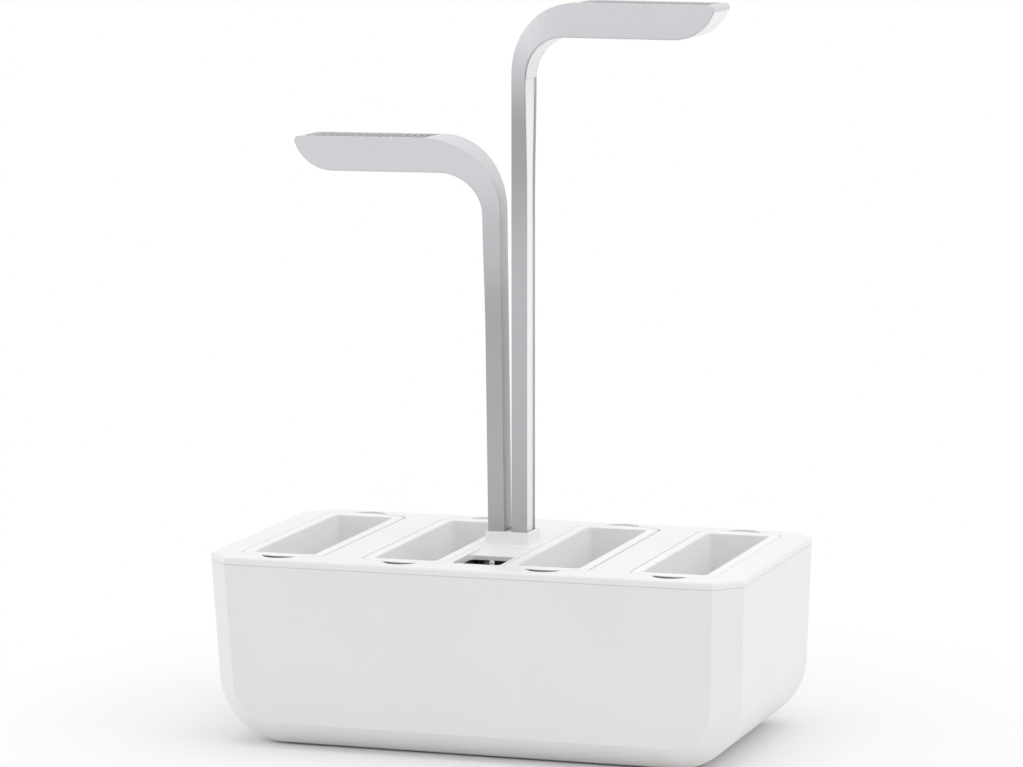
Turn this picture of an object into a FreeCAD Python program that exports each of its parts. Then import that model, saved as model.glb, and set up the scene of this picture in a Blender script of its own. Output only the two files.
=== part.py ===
import FreeCAD, Part
import Sketcher
import math
import os
import re

os.makedirs("parts", exist_ok=True)
doc = FreeCAD.newDocument("countertop_garden")
V = FreeCAD.Vector

# Driving dimensions, in millimetres and degrees. X runs along the garden, -Y is its front, +Z is up.
SIZES = {
    # Tub
    "tub_length": 300, "tub_depth": 157, "tub_height": 99.5, "tub_draft": 2.2, "tub_wall": 2.5,
    "corner_bevel": 13.3, "end_radius": 37, "foot_height": 0.8, "foot_radius": 7, "foot_pocket": 1.0,
    "foot_x": 92, "foot_y": 44, "notch_half": 8.2, "notch_depth": 20,
    # Lid
    "lid_height": 4, "lid_plate": 2.4, "lid_round": 1.5, "lid_rim": 6, "skirt_wall": 2, "skirt_drop": 6,
    "fit_gap": 0.4, "frame_drop": 1.0, "spine_half": 15.3, "spine_drop": 1.2,
    "scoop_radius": 10.5, "scoop_y": 63.6, "scoop_depth": 2.7, "scoop_wall": 1.2, "edge_round": 0.35,
    "window_left": 12.8, "window_right": 14.2, "window_front": 61.3, "window_back": 31, "window_round": 3,
    "ramp_start": 12.6, "ramp_drop": 1.2,
    "collar_half_x": 14, "collar_half_y": 11, "collar_height": 8, "collar_taper": 11, "collar_round": 3,
    # Trays and wicks
    "tray_inner_x": 40.5, "tray_outer_x": 110, "tray_y": 1, "tray_half_x": 23.45, "tray_side": 62,
    "tray_bulge": 6, "tray_round": 4, "seat_round": 1.6, "loose_play": 0.55, "snug_play": 0.25,
    "drain_width": 1.1, "drain_depth": 2, "rim_thick": 1.7, "rim_seat": 1.6, "lip_thick": 0.4,
    "lip_half": 9.3, "pocket_half_x": 17.6, "pocket_half_y": 59.7, "pocket_depth": 52,
    "pocket_draft": 3, "pocket_round": 2.5, "tray_wall": 2,
    "wick_half": 4.5, "wick_thick": 1.6, "wick_y": 30, "wick_tail": 20, "wick_slot": 0.5,
    # Arms, in the arm's own frame: x outwards from the back of the post, z up from its foot
    "arm_height": 313, "post_width": 8.9, "bend_outer": 39.6, "bend_inner": 22.9, "head_thick": 18.3,
    "head_length": 115, "tip_radius": 22.8, "tip_inset": 0.3, "nose_round": 2.4, "nose_height": 3.3,
    "arm_wall": 1.4, "post_back_half": 5.8, "post_open_half": 7.1, "bend_open_half": 9.6,
    "head_back_half": 14.6, "head_open_half": 14.9, "flare_start": 208, "cover_recess": 0.7,
    "cover_thick": 1.5, "cover_foot": 9, "joint_z": 271.3, "joint_gap": 0.2, "diffuser_proud": 0.3,
    "slide_gap": 0.1, "grille_start": 40, "grille_end": 111, "grille_half": 11.8, "grille_round": 3,
    "grille_recess": 0.5, "grille_fit": 0.15, "board_start": 35, "board_end": 105, "board_half": 8.5,
    "board_thick": 1.6, "board_lift": 5, "led_size": 3, "led_thick": 0.8, "lead_half": 2,
    "lead_thick": 1.2, "lead_x": 4.4, "lead_radius": 26, "plug_height": 8,
    # Arm positions and travel
    "left_raise": 4.6, "right_raise": 78, "left_lean": 0, "right_lean": 0.75,
    "left_back_x": 2.65, "right_back_x": 1.5, "arm_floor": 92, "hole_gap": 0.35,
    # Guide shaft under the lid
    "guide_half_x": 14.6, "guide_half_y": 11.6, "guide_drop": 92.6, "flange_half_y": 20,
    "flange_thick": 3, "groove_deep": 1.8, "groove_half": 4.6, "groove_top": 7.2, "seal_thick": 0.6,
    "cap_thick": 2.2, "cap_lip": 2, "pad_half": 4, "pad_height": 14, "pad_top": 6, "pad_thick": 0.9,
    "rail_half": 1, "rail_thick": 0.5, "rail_y": 3.2, "nose_half": 1.8, "nose_reach": 1.5,
    "nose_tall": 4, "brush_reach": 1.5, "screw_radius": 1.1, "screw_head": 2.3, "screw_length": 5.5, "screw_x": 9,
    "screw_y": 16, "screw_gap": 0.1,
    # Dry box behind the shaft
    "box_half_x": 15, "box_front": 20.6, "box_back": 72.6, "box_drop": 32, "box_wall": 1.8,
    "box_seal": 0.8, "tab_half": 7.8, "tab_back": 77.6, "inlet_drop": 11, "inlet_radius": 5.5,
    "inlet_front": 60, "inlet_bore": 2.9, "inlet_bore_depth": 9, "inlet_pin": 1, "inlet_gap": 0.1,
    "nut_flats": 7.4, "nut_thick": 2.6, "pcb_drop": 22, "pcb_half": 12.6, "pcb_front": 30,
    "pcb_back": 56, "post_radius": 2, "sleeve_radius": 3.4,
    # Water level float
    "float_x": 4.5, "float_y": -46, "float_radius": 9.5, "float_tall": 16, "float_low": 88,
    "stick_radius": 1.3, "stick_below": 0.9, "cage_half": 8, "cage_thick": 2, "cage_top": 16,
    "cage_bottom": 90.1, "cage_arm": 3, "cage_reach": 57, "stick_gap": 0.5,
}

draft_slope = math.tan(math.radians(SIZES["tub_draft"]))
cavity_extra = 5.0
bevel_share = 2 - math.sqrt(2)
tip_rise = SIZES["head_thick"] - SIZES["nose_height"]


def tip_run(radius):
    """How far the rounded tip reaches past its own start, up to the underside of the nose."""
    drop = SIZES["tip_radius"] - tip_rise
    return math.sqrt(radius ** 2 - drop ** 2)


# Sizes that follow from the driving ones
SIZES["seam_z"] = SIZES["foot_height"] + SIZES["tub_height"]
SIZES["lid_top"] = SIZES["seam_z"] + SIZES["lid_height"]
SIZES["plate_low"] = SIZES["lid_top"] - SIZES["lid_plate"]
SIZES["spine_low"] = SIZES["plate_low"] - SIZES["spine_drop"]
SIZES["collar_top"] = SIZES["lid_top"] + SIZES["collar_height"]
SIZES["outer_top_x"] = SIZES["tub_length"] / 2
SIZES["outer_top_y"] = SIZES["tub_depth"] / 2
SIZES["outer_low_x"] = SIZES["outer_top_x"] - SIZES["tub_height"] * draft_slope
SIZES["outer_low_y"] = SIZES["outer_top_y"] - SIZES["tub_height"] * draft_slope
SIZES["cavity_top"] = SIZES["seam_z"] + cavity_extra
SIZES["cavity_low"] = SIZES["foot_height"] + SIZES["tub_wall"]
SIZES["inner_top_x"] = SIZES["outer_top_x"] - SIZES["tub_wall"] + cavity_extra * draft_slope
SIZES["inner_top_y"] = SIZES["outer_top_y"] - SIZES["tub_wall"] + cavity_extra * draft_slope
SIZES["inner_low_x"] = SIZES["outer_low_x"] - SIZES["tub_wall"] * (1 - draft_slope)
SIZES["inner_low_y"] = SIZES["outer_low_y"] - SIZES["tub_wall"] * (1 - draft_slope)
SIZES["inner_radius"] = SIZES["end_radius"] - SIZES["tub_wall"]
SIZES["inner_bevel"] = SIZES["corner_bevel"] - bevel_share * SIZES["tub_wall"]
SIZES["skirt_x"] = SIZES["outer_top_x"] - SIZES["tub_wall"] - SIZES["fit_gap"]
SIZES["skirt_y"] = SIZES["outer_top_y"] - SIZES["tub_wall"] - SIZES["fit_gap"]
SIZES["tray_arc"] = (SIZES["tray_half_x"] ** 2 + SIZES["tray_bulge"] ** 2) / (2 * SIZES["tray_bulge"])
SIZES["tray_arc_y"] = SIZES["tray_side"] + SIZES["tray_bulge"] - SIZES["tray_arc"]
for fit in ("loose", "snug"):
    for part, growth in (("seat", SIZES[fit + "_play"]), ("land", SIZES[fit + "_play"] - SIZES["drain_width"])):
        half, arc = SIZES["tray_half_x"] + growth, SIZES["tray_arc"] + growth
        SIZES[f"{fit}_{part}_half_x"] = half
        SIZES[f"{fit}_{part}_arc"] = arc
        SIZES[f"{fit}_{part}_side"] = SIZES["tray_arc_y"] + math.sqrt(arc ** 2 - half ** 2)
SIZES["opening_half_x"] = SIZES["pocket_half_x"] + SIZES["tray_wall"] + 0.6
SIZES["opening_half_y"] = SIZES["pocket_half_y"] + SIZES["tray_wall"] + 0.6
SIZES["basin_half_x"] = SIZES["pocket_half_x"] + SIZES["tray_wall"]
SIZES["basin_half_y"] = SIZES["pocket_half_y"] + SIZES["tray_wall"]
SIZES["frame_half_x"] = SIZES["loose_seat_half_x"] + 0.75
SIZES["frame_half_y"] = SIZES["tray_side"] + SIZES["tray_bulge"] + SIZES["loose_play"] + 0.75
SIZES["tray_top"] = SIZES["lid_top"] - SIZES["rim_seat"] + SIZES["rim_thick"]
SIZES["pocket_floor"] = SIZES["tray_top"] - SIZES["pocket_depth"]
SIZES["tray_low"] = SIZES["pocket_floor"] - SIZES["tray_wall"]
SIZES["bend_start"] = SIZES["arm_height"] - SIZES["bend_outer"]
SIZES["head_under"] = SIZES["arm_height"] - SIZES["head_thick"]
SIZES["inner_start"] = SIZES["head_under"] - SIZES["bend_inner"]
SIZES["inner_centre_x"] = SIZES["post_width"] + SIZES["bend_inner"]
SIZES["nose_low"] = SIZES["arm_height"] - SIZES["nose_height"]
SIZES["tip_end_x"] = SIZES["head_length"] - SIZES["tip_inset"]
SIZES["tip_start_x"] = SIZES["tip_end_x"] - tip_run(SIZES["tip_radius"])
SIZES["tip_centre_z"] = SIZES["head_under"] + SIZES["tip_radius"]
SIZES["diffuser_out"] = SIZES["tip_radius"] + SIZES["diffuser_proud"]
SIZES["diffuser_in"] = SIZES["diffuser_out"] - SIZES["cover_thick"]
SIZES["diffuser_out_x"] = SIZES["tip_start_x"] + tip_run(SIZES["diffuser_out"])
SIZES["diffuser_in_x"] = SIZES["tip_start_x"] + tip_run(SIZES["diffuser_in"])
SIZES["diffuser_deep"] = SIZES["cover_thick"] - SIZES["diffuser_proud"]
SIZES["board_low"] = SIZES["head_under"] + SIZES["board_lift"]
SIZES["board_top"] = SIZES["board_low"] + SIZES["board_thick"]
SIZES["lead_top"] = SIZES["board_top"] + SIZES["lead_thick"] / 2
SIZES["lead_start"] = SIZES["lead_top"] - SIZES["lead_radius"]
SIZES["lead_centre_x"] = SIZES["lead_x"] + SIZES["lead_radius"]
SIZES["guide_low"] = SIZES["seam_z"] - SIZES["guide_drop"]
SIZES["guide_top"] = SIZES["spine_low"]
SIZES["seal_low"] = SIZES["guide_low"] - SIZES["seal_thick"]
SIZES["cap_low"] = SIZES["seal_low"] - SIZES["cap_thick"]
SIZES["box_low"] = SIZES["seam_z"] - SIZES["box_drop"]
SIZES["box_top"] = SIZES["spine_low"] - SIZES["box_seal"]
SIZES["screw_seat"] = SIZES["spine_low"] - SIZES["flange_thick"]
SIZES["inlet_z"] = SIZES["seam_z"] - SIZES["inlet_drop"]
SIZES["pcb_low"] = SIZES["seam_z"] - SIZES["pcb_drop"]
SIZES["stick_top"] = SIZES["lid_top"] - SIZES["stick_below"]
SIZES["float_bottom"] = SIZES["seam_z"] - SIZES["float_low"]
SIZES["cage_low"] = SIZES["seam_z"] - SIZES["cage_bottom"]
SIZES["cage_high"] = SIZES["seam_z"] - SIZES["cage_top"]

sheet = doc.addObject("Spreadsheet::Sheet", "Sizes")
for row, (alias, amount) in enumerate(SIZES.items(), start=1):
    sheet.set(f"A{row}", alias)
    sheet.set(f"B{row}", repr(round(float(amount), 6)))
    sheet.setAlias(f"B{row}", alias)
doc.recompute()

pieces = []


def named(text):
    """A sum of size names as an expression on the sheet."""
    return re.sub(r"[a-z]\w*", lambda found: "Sizes." + found.group(0), str(text))


def value(text):
    """The amount of a plain sum of size names and numbers."""
    total = 0.0
    for sign, word in re.findall(r"([+-]?)\s*([\w.]+)", str(text)):
        amount = SIZES[word] if word in SIZES else float(word)
        total += -amount if sign == "-" else amount
    return total


def bind(item, prop, text):
    item.setExpression(prop, named(text))


def piece(item, label):
    """Mark an object as one of the garden's own pieces, under the name a person would use."""
    item.Label = label
    pieces.append(item)
    return item


def new_body(label):
    return doc.addObject("PartDesign::Body", label)


def outline(body, label, plane, height, corners):
    """Closed outline on an origin plane of the body. A corner is (x, y), reached by a straight edge, or
    (x, y, centre x, centre y, radius, turn), reached by an arc that turns left (1) or right (-1)."""
    sketch = body.newObject("Sketcher::SketchObject", label)
    support = [item for item in body.Origin.OriginFeatures if item.Role == plane][0]
    sketch.AttachmentSupport = [(support, "")]
    sketch.MapMode = "FlatFace"
    bind(sketch, "AttachmentOffset.Base.z", height)
    ends = []
    previous = corners[-1]
    for corner in corners:
        start = V(value(previous[0]), value(previous[1]), 0)
        end = V(value(corner[0]), value(corner[1]), 0)
        if len(corner) == 2:
            sketch.addGeometry(Part.LineSegment(start, end), False)
            ends.append((1, 2))
        else:
            centre = V(value(corner[2]), value(corner[3]), 0)
            turn = corner[5]
            first, last = (start, end) if turn > 0 else (end, start)
            angle_from = math.atan2(first.y - centre.y, first.x - centre.x)
            angle_to = math.atan2(last.y - centre.y, last.x - centre.x)
            circle = Part.Circle(centre, V(0, 0, 1), value(corner[4]))
            sketch.addGeometry(Part.ArcOfCircle(circle, angle_from, angle_to), False)
            ends.append((1, 2) if turn > 0 else (2, 1))
        previous = corner
    count = len(corners)
    for index, corner in enumerate(corners):
        following = (index + 1) % count
        sketch.addConstraint(Sketcher.Constraint(
            "Coincident", index, ends[index][1], following, ends[following][0]))
    for index, corner in enumerate(corners):
        spot = ends[index][1]
        for kind, text in (("DistanceX", corner[0]), ("DistanceY", corner[1])):
            number = sketch.addConstraint(Sketcher.Constraint(kind, index, spot, value(text)))
            bind(sketch, f"Constraints[{number}]", text)
        if len(corner) > 2:
            number = sketch.addConstraint(Sketcher.Constraint("Radius", index, value(corner[4])))
            bind(sketch, f"Constraints[{number}]", corner[4])
    return sketch


def rectangle(low_x, low_y, high_x, high_y):
    return [(low_x, low_y), (high_x, low_y), (high_x, high_y), (low_x, high_y)]


def rounded(low_x, low_y, high_x, high_y, radius):
    """Corners of a rectangle with rounded corners."""
    in_left, in_right = f"{low_x} + {radius}", f"{high_x} - {radius}"
    in_low, in_high = f"{low_y} + {radius}", f"{high_y} - {radius}"
    return [
        (in_right, low_y), (high_x, in_low, in_right, in_low, radius, 1),
        (high_x, in_high), (in_right, high_y, in_right, in_high, radius, 1),
        (in_left, high_y), (low_x, in_high, in_left, in_high, radius, 1),
        (low_x, in_low), (in_left, low_y, in_left, in_low, radius, 1)]


def bevelled(half_x, half_y, leg):
    """Corners of a centred rectangle with bevelled corners."""
    return [
        (f"-{half_x} + {leg}", f"-{half_y}"), (f"{half_x} - {leg}", f"-{half_y}"),
        (half_x, f"-{half_y} + {leg}"), (half_x, f"{half_y} - {leg}"),
        (f"{half_x} - {leg}", half_y), (f"-{half_x} + {leg}", half_y),
        (f"-{half_x}", f"{half_y} - {leg}"), (f"-{half_x}", f"-{half_y} + {leg}")]


def pad(body, label, sketch, length, middle=False, down=False, taper=None):
    feature = body.newObject("PartDesign::Pad", label)
    feature.Profile = sketch
    bind(feature, "Length", length)
    if middle:
        feature.SideType = "Symmetric"
    feature.Reversed = down
    if taper:
        bind(feature, "TaperAngle", taper)
    return feature


def pocket(body, label, sketch, length, middle=False, taper=None):
    """Cut downwards from the sketch, or to both sides of it."""
    feature = body.newObject("PartDesign::Pocket", label)
    feature.Profile = sketch
    bind(feature, "Length", length)
    if middle:
        feature.SideType = "Symmetric"
    if taper:
        bind(feature, "TaperAngle", taper)
    return feature


def edge_names(shape, wanted):
    return [f"Edge{number}" for number, edge in enumerate(shape.Edges, start=1) if wanted(edge)]


def soften(body, kind, label, base, edges, prop, size):
    """Fillet or chamfer the named edges of a feature."""
    feature = body.newObject(f"PartDesign::{kind}", label)
    feature.Base = (base, edges)
    bind(feature, prop, size)
    return feature


def box(label, low, high):
    item = doc.addObject("Part::Box", label)
    for prop, axis, start, end in zip(("Length", "Width", "Height"), "xyz", low, high):
        bind(item, prop, f"({end}) - ({start})")
        bind(item, f"Placement.Base.{axis}", start)
    return item


AXIS_TURNS = {"z": FreeCAD.Rotation(), "y": FreeCAD.Rotation(V(1, 0, 0), -90),
              "x": FreeCAD.Rotation(V(0, 1, 0), 90)}


def cylinder(label, radius, start, length, axis="z"):
    item = doc.addObject("Part::Cylinder", label)
    bind(item, "Radius", radius)
    bind(item, "Height", length)
    item.Placement.Rotation = AXIS_TURNS[axis]
    for name, text in zip("xyz", start):
        bind(item, f"Placement.Base.{name}", text)
    return item


def union(label, items):
    if len(items) == 1:
        return items[0]
    item = doc.addObject("Part::MultiFuse", label)
    item.Shapes = items
    return item


def cut(label, base, tools):
    item = doc.addObject("Part::Cut", label)
    item.Base = base
    item.Tool = union(label + "_tools", tools)
    return item


def common(label, items):
    item = doc.addObject("Part::MultiCommon", label)
    item.Shapes = items
    return item


def group(label, items):
    """Several separate solids that share one name."""
    item = doc.addObject("Part::Compound", label)
    item.Links = items
    return item


# Tub: one moulded tank. Its walls draw in downwards, its lower ends are round, and one bevel runs down
# the corners, round the ends and along the bottom.
def tub_form(label, low_z, top_z, low_x, low_y, top_x, top_y, radius, bevel, top_round=None):
    body = new_body(label)
    body.Placement = FreeCAD.Placement(V(0, 0, 0), FreeCAD.Rotation(V(1, 0, 0), 90))
    wedge = body.newObject("PartDesign::AdditiveWedge", label + "_block")
    for prop, text in (("Ymin", low_z), ("Ymax", top_z), ("Xmin", f"-{low_x}"), ("Xmax", low_x),
                       ("Zmin", f"-{low_y}"), ("Zmax", low_y), ("X2min", f"-{top_x}"),
                       ("X2max", top_x), ("Z2min", f"-{top_y}"), ("Z2max", top_y)):
        bind(wedge, prop, text)
    doc.recompute()

    def bottom_end(edge):
        low = edge.BoundBox
        return low.YMax < value(low_z) + 1 and low.ZLength > 10

    round_ends = soften(body, "Fillet", label + "_round_ends", wedge,
                        edge_names(wedge.Shape, bottom_end), "Radius", radius)
    doc.recompute()

    def front_or_back(edge):
        middle = edge.BoundBox
        on_face = middle.ZMin > value(low_y) - 0.1 or middle.ZMax < -value(low_y) + 0.1
        return on_face and middle.YMin < value(top_z) - 0.1

    bevels = soften(body, "Chamfer", label + "_bevel", round_ends,
                    edge_names(round_ends.Shape, front_or_back), "Size", bevel)
    if top_round:
        doc.recompute()
        top_edges = edge_names(bevels.Shape, lambda edge: edge.BoundBox.YMin > value(top_z) - 0.01)
        soften(body, "Fillet", label + "_top_round", bevels, top_edges, "Radius", top_round)
    return body


tub_outside = tub_form("tub_outside", "foot_height", "seam_z", "outer_low_x", "outer_low_y",
                       "outer_top_x", "outer_top_y", "end_radius", "corner_bevel", "edge_round + 0.1")
tub_inside = tub_form("tub_inside", "cavity_low", "cavity_top", "inner_low_x", "inner_low_y",
                      "inner_top_x", "inner_top_y", "inner_radius", "inner_bevel")
inlet_notch = box("inlet_notch", ("-notch_half", "outer_low_y - 8", "seam_z - notch_depth"),
                  ("notch_half", "outer_top_y + 1", "seam_z + 1"))
foot_spots = [(f"{sx}foot_x", f"{sy}foot_y") for sx in ("-", "") for sy in ("-", "")]
foot_pockets = [
    cylinder(f"foot_pocket_{number}", "foot_radius + 0.3", (x, y, "foot_height - 1"), "foot_pocket + 1")
    for number, (x, y) in enumerate(foot_spots)]
tub = piece(cut("tub_shell", tub_outside, [tub_inside, inlet_notch] + foot_pockets), "tub")

feet = [cylinder(f"foot_{number}", "foot_radius", (x, y, "0"), "foot_height + foot_pocket")
        for number, (x, y) in enumerate(foot_spots)]
piece(group("feet", feet), "rubber_feet")


# Trays: four equal basins with a flat rim, each let into the lid. A rim has straight sides and gently
# curved ends, and thins to a lip over the finger scoops. Trays 1 and 3 lie to the left in loose seats,
# so that they leave a gap on their right.
def curved_ends(half_x, side, arc):
    """Corners of a rim or seat: straight sides, and ends that bulge along an arc."""
    return [
        (half_x, f"-{side}", "0", "-tray_arc_y", arc, 1), (half_x, side),
        (f"-{half_x}", side, "0", "tray_arc_y", arc, 1), (f"-{half_x}", f"-{side}")]


def upright_edges(shape):
    return edge_names(shape, lambda edge: edge.BoundBox.ZLength > 0.5 and edge.BoundBox.XLength < 0.01)


def tray_basin(label):
    body = new_body(label)
    rim = outline(body, label + "_rim", "XY_Plane", "tray_top",
                  curved_ends("tray_half_x", "tray_side", "tray_arc"))
    rim_pad = pad(body, label + "_rim_pad", rim, "rim_thick", down=True)
    doc.recompute()
    soften(body, "Fillet", label + "_rim_corners", rim_pad, upright_edges(rim_pad.Shape), "Radius",
           "tray_round")
    basin = outline(body, label + "_basin", "XY_Plane", "tray_top - rim_thick", rounded(
        "-basin_half_x", "-basin_half_y", "basin_half_x", "basin_half_y", "tray_round"))
    pad(body, label + "_basin_pad", basin, "pocket_depth + tray_wall - rim_thick", down=True,
        taper="-pocket_draft")
    well = outline(body, label + "_well", "XY_Plane", "tray_top", rounded(
        "-pocket_half_x", "-pocket_half_y", "pocket_half_x", "pocket_half_y", "pocket_round"))
    last = pocket(body, label + "_well_cut", well, "pocket_depth", taper="-pocket_draft")
    for number, side in enumerate(("-", "")):
        slot = outline(body, f"{label}_slot_{number}", "XY_Plane", "pocket_floor + 1", rectangle(
            "-wick_half - wick_slot", f"{side}wick_y - wick_thick", "wick_half + wick_slot",
            f"{side}wick_y + wick_thick"))
        last = pocket(body, f"{label}_slot_cut_{number}", slot, "tray_wall + 2")
    doc.recompute()

    def rim_edge(edge):
        low = edge.BoundBox
        return low.ZMin > value("tray_top") - 0.01

    soften(body, "Fillet", label + "_soft_rim", last, edge_names(last.Shape, rim_edge), "Radius", "0.6")
    undercuts = [
        box(f"{label}_undercut_{number}", ("-lip_half", low, "tray_top - rim_thick - 1"),
            ("lip_half", high, "tray_top - lip_thick"))
        for number, (low, high) in enumerate((("-basin_half_y - 12", "-basin_half_y - 0.1"),
                                              ("basin_half_y + 0.1", "basin_half_y + 12")))]
    return cut(label + "_over_scoops", body, undercuts)


# Wicks: two strips of felt in each tray. A strip lies on the tray's floor, turns down through its slot
# and hangs to just above the bottom of the tank.
def wick_pair(label):
    strips = []
    for number, side in enumerate((-1, 1)):
        sign = "-" if side < 0 else ""
        body = new_body(f"{label}_{number}")
        inner, outer = f"{sign}wick_y - 0.8", f"{sign}wick_y + 0.8"
        if side < 0:
            corners = [(inner, "cavity_low + 2"), (outer, "cavity_low + 2"), (outer, "pocket_floor"),
                       (f"{outer} + wick_tail", "pocket_floor"),
                       (f"{outer} + wick_tail", "pocket_floor + wick_thick"),
                       (inner, "pocket_floor + wick_thick")]
        else:
            corners = [(inner, "cavity_low + 2"), (outer, "cavity_low + 2"),
                       (outer, "pocket_floor + wick_thick"),
                       (f"{inner} - wick_tail", "pocket_floor + wick_thick"),
                       (f"{inner} - wick_tail", "pocket_floor"), (inner, "pocket_floor")]
        side_view = outline(body, f"{label}_{number}_side", "YZ_Plane", "0", corners)
        pad(body, f"{label}_{number}_pad", side_view, "wick_half + wick_half", middle=True)
        strips.append(body)
    return group(label, strips)


TRAYS = (("1", "-tray_outer_x", "- 0.45", "loose"), ("2", "-tray_inner_x", "+ 0", "snug"),
         ("3", "tray_inner_x", "- 0.45", "loose"), ("4", "tray_outer_x", "+ 0", "snug"))
for number, place_x, shift, _ in TRAYS:
    tray = piece(tray_basin("basin_" + number), "tray_" + number)
    wicks = piece(wick_pair("strips_" + number), "wicks_" + number)
    for item in (tray, wicks):
        bind(item, "Placement.Base.x", f"{place_x} {shift}")
        bind(item, "Placement.Base.y", "tray_y")


# Arm outline and depth. Seen from the front an arm is a post, a bend and a head with a rounded tip.
# Seen from its open side it is narrow in the post and widens through the bend to the head.
def smooth(start, end, share):
    share = min(max(share, 0.0), 1.0)
    return start + (end - start) * (3 * share ** 2 - 2 * share ** 3)


def arm_stations():
    """Back point, open-side point and the half depth at each, from the foot of the post to the tip."""
    narrow, wide = SIZES["post_open_half"], SIZES["bend_open_half"]
    back, back_head = SIZES["post_back_half"], SIZES["head_back_half"]
    flare_steps, bend_steps = 6, 10
    stations = [((0.0, -3.0), (SIZES["post_width"], -3.0), back, narrow)]
    for step in range(flare_steps):
        share = step / flare_steps
        height = SIZES["flare_start"] + (SIZES["bend_start"] - SIZES["flare_start"]) * share
        stations.append(((0.0, height), (SIZES["post_width"], height), back,
                         smooth(narrow, wide, share)))
    for step in range(bend_steps + 1):
        share = step / bend_steps
        angle = math.pi / 2 * share
        outer = (SIZES["bend_outer"] * (1 - math.cos(angle)),
                 SIZES["bend_start"] + SIZES["bend_outer"] * math.sin(angle))
        inner = (SIZES["post_width"] + SIZES["bend_inner"] * (1 - math.cos(angle)),
                 SIZES["inner_start"] + SIZES["bend_inner"] * math.sin(angle))
        stations.append((outer, inner, smooth(back, back_head, share),
                         smooth(wide, SIZES["head_open_half"], share)))
    end = SIZES["head_length"] + 6
    stations.append(((end, SIZES["arm_height"]), (end, SIZES["head_under"]), back_head,
                     SIZES["head_open_half"]))
    return stations


def arm_depth(label, inset):
    """Solid that holds the arm's front and back faces, drawn in by inset. It stands past the outline."""
    past = 6.0
    wires = []
    for outer, inner, back_half, open_half in arm_stations():
        run = V(inner[0] - outer[0], 0, inner[1] - outer[1])
        slope = (open_half - back_half) / run.Length
        step = V(run).normalize() * past
        far = V(outer[0], 0, outer[1]) - step
        near = V(inner[0], 0, inner[1]) + step
        far_half = back_half - slope * past - inset
        near_half = open_half + slope * past - inset
        points = [far + V(0, -far_half, 0), near + V(0, -near_half, 0), near + V(0, near_half, 0),
                  far + V(0, far_half, 0)]
        wires.append(Part.makePolygon(points + points[:1]))
    item = doc.addObject("Part::Feature", label)
    item.Shape = Part.makeLoft(wires, True, True)
    return item


def arm_plate(label, corners, inset):
    """Arm piece cut from a side outline and the arm's front and back faces."""
    body = new_body(label + "_side")
    side_view = outline(body, label + "_outline", "XZ_Plane", "0", corners)
    pad(body, label + "_pad", side_view, "40", middle=True)
    return common(label, [body, arm_depth(label + "_depth", value(inset))])


def arm_outside():
    return [
        ("0", "0"), ("post_width", "0"), ("post_width", "inner_start"),
        ("inner_centre_x", "head_under", "inner_centre_x", "inner_start", "bend_inner", -1),
        ("tip_start_x", "head_under"),
        ("tip_end_x", "nose_low", "tip_start_x", "tip_centre_z", "tip_radius", 1),
        ("head_length", "nose_low"), ("head_length", "arm_height - nose_round"),
        ("head_length - nose_round", "arm_height", "head_length - nose_round",
         "arm_height - nose_round", "nose_round", 1),
        ("bend_outer", "arm_height"),
        ("0", "bend_start", "bend_outer", "bend_start", "bend_outer", 1)]


def arm_hollow():
    return [
        ("arm_wall", "-2"), ("head_length + 4", "-2"), ("head_length + 4", "nose_low"),
        ("head_length - arm_wall", "nose_low"), ("head_length - arm_wall", "arm_height - arm_wall"),
        ("bend_outer", "arm_height - arm_wall"),
        ("arm_wall", "bend_start", "bend_outer", "bend_start", "bend_outer - arm_wall", 1)]


def diffuser_side():
    return [
        ("post_width - diffuser_deep", "joint_z + joint_gap"),
        ("post_width + diffuser_proud", "joint_z + joint_gap"),
        ("post_width + diffuser_proud", "inner_start"),
        ("inner_centre_x", "head_under - diffuser_proud", "inner_centre_x", "inner_start",
         "bend_inner - diffuser_proud", -1),
        ("tip_start_x", "head_under - diffuser_proud"),
        ("diffuser_out_x", "nose_low", "tip_start_x", "tip_centre_z", "diffuser_out", 1),
        ("diffuser_in_x", "nose_low"),
        ("tip_start_x", "head_under + diffuser_deep", "tip_start_x", "tip_centre_z", "diffuser_in", -1),
        ("inner_centre_x", "head_under + diffuser_deep"),
        ("post_width - diffuser_deep", "inner_start", "inner_centre_x", "inner_start",
         "bend_inner + diffuser_deep", 1)]


def flat_lead(label):
    """Flat lead: up the post, round the bend and onto the end of the board."""
    half = "0.6"
    body = new_body(label)
    corners = [
        (f"lead_x - {half}", "plug_height"), (f"lead_x + {half}", "plug_height"),
        (f"lead_x + {half}", "lead_start"),
        ("lead_centre_x", f"lead_top - {half}", "lead_centre_x", "lead_start",
         f"lead_radius - {half}", -1),
        ("board_start + 8", f"lead_top - {half}"), ("board_start + 8", f"lead_top + {half}"),
        ("lead_centre_x", f"lead_top + {half}"),
        (f"lead_x - {half}", "lead_start", "lead_centre_x", "lead_start", f"lead_radius + {half}", 1)]
    side_view = outline(body, label + "_side", "XZ_Plane", "0", corners)
    pad(body, label + "_pad", side_view, "lead_half + lead_half", middle=True)
    return body


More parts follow.
